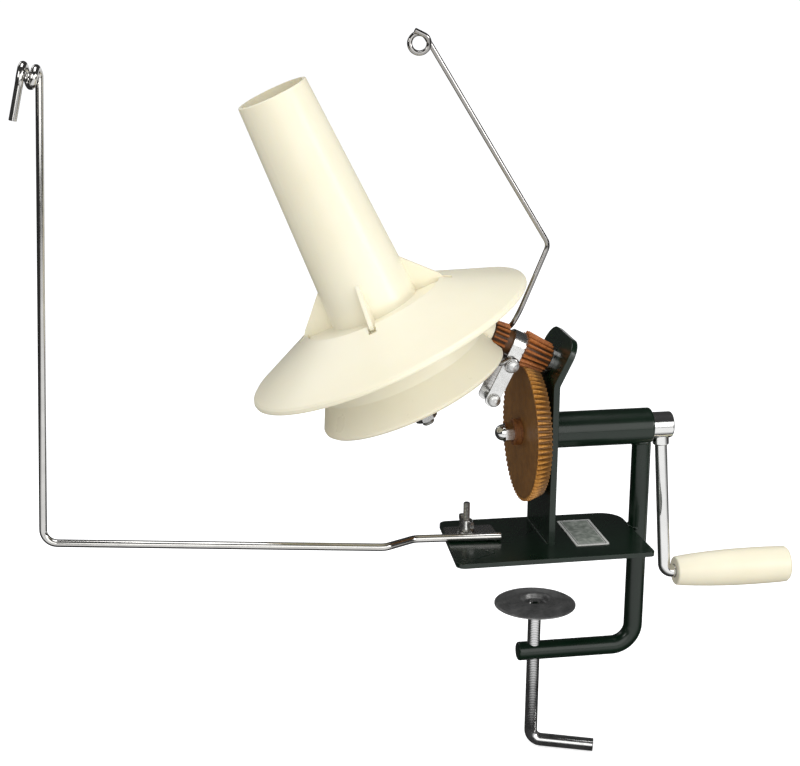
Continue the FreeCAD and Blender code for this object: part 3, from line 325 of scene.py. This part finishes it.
def clamp_screw_steel():
    """Bright screw: a fine worn thread on the upright length with painted shade in its roots, plain bent handle."""
    m, nt, b = new_mat("screw_steel")
    v = coords(nt)
    b.inputs["Metallic"].default_value = 1.0
    r, sep = radius_from(nt, v)
    ph = math_node(nt, "MULTIPLY", sep.outputs["Z"], const=1.0 / 0.00125)
    tri = nt.nodes.new("ShaderNodeMath")
    tri.operation = "PINGPONG"
    tri.inputs[1].default_value = 0.5
    nt.links.new(ph, tri.inputs[0])
    lvl = math_node(nt, "MULTIPLY", tri.outputs[0], const=2.0)
    here = math_node(nt, "MULTIPLY", remap(nt, sep.outputs["Z"], -0.1400, -0.1380, 0.0, 1.0), remap(nt, r, 0.0048, 0.0056, 1.0, 0.0))
    grime = noise(nt, v, 110.0, 5.0, 0.65)
    steel = ramp(nt, grime, [(0.34, grey(0.52)), (0.46, grey(0.70)), (0.70, grey(0.80))])
    # Painted shade in the thread roots, only on the threaded length.
    thread_root_shade = math_node(nt, "MULTIPLY", remap(nt, lvl, 0.0, 0.45, 0.6, 0.0), here)
    nt.links.new(mix_colour(nt, thread_root_shade, steel, grey(0.10)), b.inputs["Base Color"])
    nt.links.new(remap(nt, grime, 0.3, 0.7, 0.12, 0.26), b.inputs["Roughness"])
    bump(nt, b, math_node(nt, "MULTIPLY", lvl, here), 0.18, 0.0002)
    return m


def pad_steel():
    """Dark pressed disc with concentric marks about the screw."""
    m, nt, b = new_mat("pad_steel")
    v = coords(nt)
    sep = nt.nodes.new("ShaderNodeSeparateXYZ")
    nt.links.new(v, sep.inputs["Vector"])
    x2 = math_node(nt, "MULTIPLY", sep.outputs["X"], sep.outputs["X"])
    y2 = math_node(nt, "MULTIPLY", sep.outputs["Y"], sep.outputs["Y"])
    r = math_node(nt, "SQRT", math_node(nt, "ADD", x2, y2))
    comb = nt.nodes.new("ShaderNodeCombineXYZ")
    nt.links.new(math_node(nt, "MULTIPLY", r, const=40.0), comb.inputs["X"])
    ang = math_node(nt, "ARCTAN2", sep.outputs["Y"], sep.outputs["X"])
    nt.links.new(math_node(nt, "MULTIPLY", ang, const=0.05), comb.inputs["Y"])
    rings = noise(nt, comb.outputs["Vector"], 60.0, 4.0, 0.7)
    spots = noise(nt, v, 130.0, 5.0, 0.65)
    b.inputs["Metallic"].default_value = 0.55
    mix = math_node(nt, "ADD", math_node(nt, "MULTIPLY", rings, const=0.5), math_node(nt, "MULTIPLY", spots, const=0.5))
    nt.links.new(ramp(nt, mix, [(0.35, grey(0.095)), (0.52, grey(0.19)), (0.70, grey(0.34))]), b.inputs["Base Color"])
    nt.links.new(remap(nt, spots, 0.3, 0.7, 0.30, 0.52), b.inputs["Roughness"])
    bump(nt, b, rings, 0.35, 0.0003)
    return m


def label_foil():
    m, nt, b = new_mat("label_foil")
    v = coords(nt)
    st = nt.nodes.new("ShaderNodeMapping")
    st.inputs["Scale"].default_value = (1.0, 26.0, 1.0)
    nt.links.new(v, st.inputs["Vector"])
    grain = noise(nt, st.outputs["Vector"], 120.0, 4.0, 0.7)
    blot = noise(nt, v, 70.0, 5.0)
    b.inputs["Metallic"].default_value = 0.25
    plate = ramp(nt, blot, [(0.3, (0.60, 0.61, 0.58)), (0.7, (0.74, 0.75, 0.71))])
    panel = ramp(nt, noise(nt, v, 240.0, 5.0, 0.7), [(0.35, (0.16, 0.19, 0.16)), (0.50, (0.30, 0.33, 0.29)), (0.66, (0.50, 0.53, 0.48))])
    lo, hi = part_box("name_plate")
    sep = nt.nodes.new("ShaderNodeSeparateXYZ")
    nt.links.new(v, sep.inputs["Vector"])
    far = []
    for axis, k in (("X", 0), ("Y", 1)):
        mid, half = (lo[k] + hi[k]) / 2, (hi[k] - lo[k]) / 2
        off = math_node(nt, "ABSOLUTE", math_node(nt, "SUBTRACT", sep.outputs[axis], const=mid))
        far.append(math_node(nt, "SUBTRACT", off, const=half))
    edge = math_node(nt, "MAXIMUM", far[0], far[1])
    line = math_node(nt, "MULTIPLY", math_node(nt, "LESS_THAN", edge, const=-0.0016), math_node(nt, "GREATER_THAN", edge, const=-0.0021))
    inside = math_node(nt, "LESS_THAN", edge, const=-0.0026)
    nt.links.new(mix_colour(nt, inside, mix_colour(nt, line, plate, (0.02, 0.03, 0.025)), panel), b.inputs["Base Color"])
    nt.links.new(remap(nt, grain, 0.3, 0.7, 0.30, 0.48), b.inputs["Roughness"])
    bump(nt, b, grain, 0.12, 0.0001)
    return m


GREEN = paint_green()
CREAM = cream_plastic(loc=tuple(P))
CREAM_GRIP = cream_plastic("cream_grip", CRANK_ROT, (0, 0, GRIP_Z))
FIBRE_DRIVE = fibre("fibre_drive", CRANK_ROT, (0, 0, CRANK_Z), 0.0435, 0.0458, 0.90)
FIBRE_BOSS = fibre("fibre_boss", CRANK_ROT, (0, 0, CRANK_Z), 0.0030, 0.0070, 0.36, 0.80)
FIBRE_PIN = fibre("fibre_pinion", PIN_ROT, tuple(P), 0.0082, 0.0116, 0.80, 0.74, 0.16)
FIBRE_RING = fibre("fibre_ring", SPOOL_ROT, tuple(P), 0.052, 0.058)
CHROME = metal("bright_plate", (0.82, 0.82, 0.81), 0.11, None, 0.04, patch=0.03)
CHROME_X = metal("bright_hub", (0.80, 0.80, 0.79), 0.11, CRANK_ROT, 0.05, patch=0.03)
WIRE = metal("bright_wire", (0.66, 0.65, 0.63), 0.10, None, 0.02, patch=0.06)
WIRE_THIN = metal("thin_wire", (0.36, 0.35, 0.34), 0.09, None, 0.02, patch=0.06)
CLIP = metal("clip_strip", (0.82, 0.82, 0.81), 0.24, PIN_ROT, 0.08, patch=0.08)
ZINC = metal("zinc_steel", (0.56, 0.56, 0.55), 0.24, None, 0.08, patch=0.10)
DARK = metal("dark_steel", (0.16, 0.16, 0.16), 0.30, CRANK_ROT, 0.15, patch=0.15)
BRONZE = metal("bush_bronze", (0.50, 0.34, 0.16), 0.34, CRANK_ROT, 0.10)
PAD = pad_steel()
FOIL = label_foil()
SCREW = clamp_screw_steel()
BOLT_Y = threaded("bolt_thread", (0.60, 0.60, 0.59), 0.22, tuple(frame_euler((1, 0, 0), (0, 1, 0))), 0.0007)
BOLT_Z = threaded("guide_thread", (0.55, 0.55, 0.54), 0.24, None, 0.001)
AXLE_S = threaded("spool_axle_thread", (0.55, 0.55, 0.54), 0.24, SPOOL_ROT, 0.00125)
AXLE_P = threaded("pinion_axle_thread", (0.55, 0.55, 0.54), 0.24, PIN_ROT, 0.00125)

MATS = {
    "base_plate": GREEN, "upright_bracket": GREEN, "shaft_tube": GREEN, "clamp_frame": GREEN,
    "name_plate": FOIL,
    "crank_grip": CREAM_GRIP, "spool_tube": CREAM, "spool_skirt": CREAM, "gear_housing": CREAM,
    "drive_gear": FIBRE_DRIVE, "pinion": FIBRE_PIN, "spool_gear": FIBRE_RING,
    "crank_hub": CHROME_X, "crank_arm": CHROME, "crank_shaft": CHROME_X, "hub_collar": CHROME,
    "flyer_wire": WIRE_THIN, "guide_arm": WIRE, "flyer_clip": CLIP, "gear_nut": CHROME_X,
    "clamp_screw": SCREW, "clamp_pad": PAD, "pad_rivet": CHROME, "gear_spacer": FIBRE_BOSS,
    "bush_left": BRONZE, "bush_right": BRONZE,
    "clip_bolt_top": BOLT_Y, "clip_bolt_low": BOLT_Y, "guide_bolt": BOLT_Z,
    "spool_axle": AXLE_S, "pinion_axle": AXLE_P,
}
for name, o in NODES.items():
    m = MATS.get(name, ZINC)
    o.data.materials.clear()
    o.data.materials.append(m)


# ------------------------------------------------------------------ weld beads and seams
def bead(name, pts, radius, body, mat, closed=False, ripple=0.0009):
    """A rippled bead of weld metal along a line of points."""
    dense = []
    count = len(pts) if closed else len(pts) - 1
    for i in range(count):
        a, b = Vector(pts[i]), Vector(pts[(i + 1) % len(pts)])
        steps = max(1, int((b - a).length / 0.00035))
        for k in range(steps):
            dense.append(a.lerp(b, k / steps))
    if not closed:
        dense.append(Vector(pts[-1]))
    bm = bmesh.new()
    n, sides = len(dense), 10
    rings, run = [], 0.0
    for i, c in enumerate(dense):
        before = dense[i - 1] if (i > 0 or closed) else dense[0]
        after = dense[(i + 1) % n] if (i < n - 1 or closed) else dense[-1]
        d = (after - before).normalized()
        side = d.cross(Vector((0.31, 0.17, 0.93))).normalized()
        up = d.cross(side)
        if i:
            run += (c - dense[i - 1]).length
        wave = abs(math.sin(math.pi * run / ripple))
        r = radius * (0.86 + 0.16 * wave + 0.05 * math.sin(run * 900.0) + 0.04 * math.sin(run * 2300.0 + 1.0))
        if not closed and (i < 4 or i > n - 5):
            r *= 0.45 + 0.14 * min(i, n - 1 - i)
        rings.append([bm.verts.new(c + side * r * math.cos(2 * math.pi * k / sides) + up * r * math.sin(2 * math.pi * k / sides)) for k in range(sides)])
    for i in range(n if closed else n - 1):
        a, b = rings[i], rings[(i + 1) % n]
        for k in range(sides):
            bm.faces.new((a[k], a[(k + 1) % sides], b[(k + 1) % sides], b[k]))
    if not closed:
        bm.faces.new(rings[0][::-1])
        bm.faces.new(rings[-1])
    bmesh.ops.recalc_face_normals(bm, faces=bm.faces)
    for f in bm.faces:
        f.smooth = True
    me = bpy.data.meshes.new(name)
    bm.to_mesh(me)
    bm.free()
    me.materials.append(mat)
    ob = bpy.data.objects.new(name, me)
    bpy.context.scene.collection.objects.link(ob)
    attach(ob, body)
    return ob


def circle(c, ax, ay, r, a0, a1, n):
    c, ax, ay = Vector(c), Vector(ax), Vector(ay)
    return [c + ax * r * math.cos(math.radians(a0 + (a1 - a0) * i / n)) + ay * r * math.sin(math.radians(a0 + (a1 - a0) * i / n)) for i in range(n + 1)]


T_LO, T_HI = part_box("shaft_tube")
TR = (T_HI[1] - T_LO[1]) / 2
PL_LO, PL_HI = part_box("base_plate")
BAR_R = (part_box("clamp_frame")[1][1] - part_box("clamp_frame")[0][1]) / 2
BAR_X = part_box("clamp_frame")[1][0] - BAR_R
ST_LO, ST_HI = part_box("upright_bracket")
bead("weld_tube", circle((T_LO[0] + 0.0003, 0, CRANK_Z), (0, 1, 0), (0, 0, 1), TR + 0.0001, 0, 360, 48)[:-1], 0.0012, "frame", GREEN, True)
bead("weld_foot_right", [(T_LO[0] + 0.0002, -0.0255, PL_HI[2] + 0.0001), (T_LO[0] + 0.0002, 0.0255, PL_HI[2] + 0.0001)], 0.0012, "frame", GREEN)
bead("weld_foot_left", [(-0.0002, -0.0255, PL_HI[2] + 0.0001), (-0.0002, 0.0255, PL_HI[2] + 0.0001)], 0.0011, "frame", GREEN)
bead("weld_bar_top", circle((BAR_X, 0, PL_HI[2]), (1, 0, 0), (0, 1, 0), BAR_R + 0.0001, 104, 256, 24), 0.0012, "frame", GREEN)
saddle = []
for i in range(41):
    t = math.radians(48 + (312 - 48) * i / 40)
    yy = BAR_R * math.sin(t)
    saddle.append((BAR_X + BAR_R * math.cos(t), yy, CRANK_Z - math.sqrt(TR * TR - yy * yy)))
bead("weld_saddle", saddle, 0.0011, "frame", GREEN)


# ------------------------------------------------------------------ camera
def camera():
    az, el, roll = math.radians(11.74), math.radians(16.05), math.radians(0.77)
    d = Vector((math.sin(az) * math.cos(el), math.cos(az) * math.cos(el), -math.sin(el)))
    r = Vector((math.cos(az), -math.sin(az), 0))
    u = r.cross(d)
    r2 = r * math.cos(roll) + u * math.sin(roll)
    u2 = u * math.cos(roll) - r * math.sin(roll)
    target = Vector((-0.09533, 0, 0.11043))
    cam = bpy.data.cameras.new("camera")
    cam.lens = 90.0
    cam.sensor_width = 36.0
    cam.clip_start, cam.clip_end = 0.05, 50.0
    ob = bpy.data.objects.new("camera", cam)
    ob.matrix_world = Matrix((r2, u2, -d)).transposed().to_4x4()
    ob.location = target - d * 1.2915
    bpy.context.scene.collection.objects.link(ob)
    bpy.context.scene.camera = ob


camera()


# ------------------------------------------------------------------ floor and soft light
def floor():
    lo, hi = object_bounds()
    bm = bmesh.new()
    bmesh.ops.create_circle(bm, cap_ends=True, radius=14.0, segments=96)
    me = bpy.data.meshes.new("floor")
    bm.to_mesh(me)
    bm.free()
    ob = bpy.data.objects.new("floor", me)
    ob.location = (0, 0, lo.z - 0.0002)
    bpy.context.scene.collection.objects.link(ob)
    m, nt, b = new_mat("floor_white")
    v = coords(nt)
    nt.links.new(ramp(nt, noise(nt, v, 3.0), [(0.3, grey(0.84)), (0.7, grey(0.86))]), b.inputs["Base Color"])
    b.inputs["Roughness"].default_value = 0.9
    b.inputs["Specular IOR Level"].default_value = 0.1
    b.inputs["Emission Color"].default_value = (1, 1, 1, 1)
    dull = nt.nodes.new("ShaderNodeEmission")
    dull.inputs["Color"].default_value = (1, 1, 1, 1)
    sep = nt.nodes.new("ShaderNodeSeparateXYZ")
    nt.links.new(v, sep.inputs["Vector"])
    near = remap(nt, sep.outputs["Y"], -0.05, -0.18, 0.0, 1.0)
    far = remap(nt, sep.outputs["Y"], -1.9, -1.2, 0.0, 1.0)
    side = remap(nt, math_node(nt, "ABSOLUTE", math_node(nt, "ADD", sep.outputs["X"], const=0.10)), 0.55, 1.0, 1.0, 0.0)
    before = math_node(nt, "MULTIPLY", math_node(nt, "MULTIPLY", near, far), side)
    rear = math_node(nt, "MULTIPLY", remap(nt, sep.outputs["Y"], 0.15, 0.35, 0.0, 0.8), remap(nt, sep.outputs["X"], 0.08, 0.35, 0.0, 1.0))
    patch = math_node(nt, "ADD", before, rear)
    nt.links.new(math_node(nt, "ADD", math_node(nt, "MULTIPLY", patch, const=1.0), const=0.035), dull.inputs["Strength"])
    path = nt.nodes.new("ShaderNodeLightPath")
    b.inputs["Emission Strength"].default_value = 0.64
    low = nt.nodes.new("ShaderNodeEmission")
    low.inputs["Color"].default_value = (1.0, 0.985, 0.95, 1)
    low.inputs["Strength"].default_value = 0.60
    first = nt.nodes.new("ShaderNodeMixShader")
    nt.links.new(path.outputs["Is Diffuse Ray"], first.inputs["Fac"])
    nt.links.new(b.outputs["BSDF"], first.inputs[1])
    nt.links.new(low.outputs[0], first.inputs[2])
    mix = nt.nodes.new("ShaderNodeMixShader")
    out = next(n for n in nt.nodes if n.type == "OUTPUT_MATERIAL")
    nt.links.new(path.outputs["Is Glossy Ray"], mix.inputs["Fac"])
    nt.links.new(first.outputs[0], mix.inputs[1])
    nt.links.new(dull.outputs[0], mix.inputs[2])
    nt.links.new(mix.outputs[0], out.inputs["Surface"])
    me.materials.append(m)
    ob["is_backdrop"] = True


floor()


def area(name, loc, target, size, power, colour=(1, 1, 1), size_y=None):
    li = bpy.data.lights.new(name, "AREA")
    li.shape = "RECTANGLE"
    li.size = size
    li.size_y = size_y or size
    li.energy = power
    li.color = colour
    ob = bpy.data.objects.new(name, li)
    ob.location = loc
    ob.rotation_euler = (Vector(target) - Vector(loc)).to_track_quat("-Z", "Y").to_euler()
    bpy.context.scene.collection.objects.link(ob)
    return ob


C = (-0.09, 0, 0.1)
area("front", (0.12, -1.50, 0.50), C, 2.2, 13.2, (1.0, 0.998, 0.985), 1.15)
area("key", (1.25, -1.15, 0.62), C, 0.45, 6.8, (1.0, 0.99, 0.975))
area("left", (-1.35, -0.75, 0.85), C, 0.6, 4.2, (1.0, 0.99, 0.97))
area("top", (-0.1, -0.1, 1.7), C, 0.9, 9.5)
area("back", (-1.0, 1.3, 1.1), C, 0.8, 2.8)

world = bpy.data.worlds.new("studio")
bpy.context.scene.world = world
world.use_nodes = True
wt = world.node_tree
for n in list(wt.nodes):
    wt.nodes.remove(n)
wo = wt.nodes.new("ShaderNodeOutputWorld")
bg_see = wt.nodes.new("ShaderNodeBackground")
bg_see.inputs["Color"].default_value = (1, 1, 1, 1)
bg_see.inputs["Strength"].default_value = 1.0
bg_lit = wt.nodes.new("ShaderNodeBackground")
bg_lit.inputs["Color"].default_value = (0.95, 0.97, 1.0, 1)
bg_lit.inputs["Strength"].default_value = 0.50
bg_gloss = wt.nodes.new("ShaderNodeBackground")
bg_gloss.inputs["Color"].default_value = (1, 1, 1, 1)
bg_gloss.inputs["Strength"].default_value = 0.05
lp = wt.nodes.new("ShaderNodeLightPath")
mx1 = wt.nodes.new("ShaderNodeMixShader")
mx2 = wt.nodes.new("ShaderNodeMixShader")
wt.links.new(lp.outputs["Is Glossy Ray"], mx1.inputs["Fac"])
wt.links.new(bg_lit.outputs[0], mx1.inputs[1])
wt.links.new(bg_gloss.outputs[0], mx1.inputs[2])
wt.links.new(lp.outputs["Is Camera Ray"], mx2.inputs["Fac"])
wt.links.new(mx1.outputs[0], mx2.inputs[1])
wt.links.new(bg_see.outputs[0], mx2.inputs[2])
wt.links.new(mx2.outputs[0], wo.inputs["Surface"])

sc = bpy.context.scene
sc.view_settings.view_transform = "Standard"
sc.view_settings.look = "None"
sc.view_settings.exposure = 0.0
sc.view_settings.gamma = 1.0
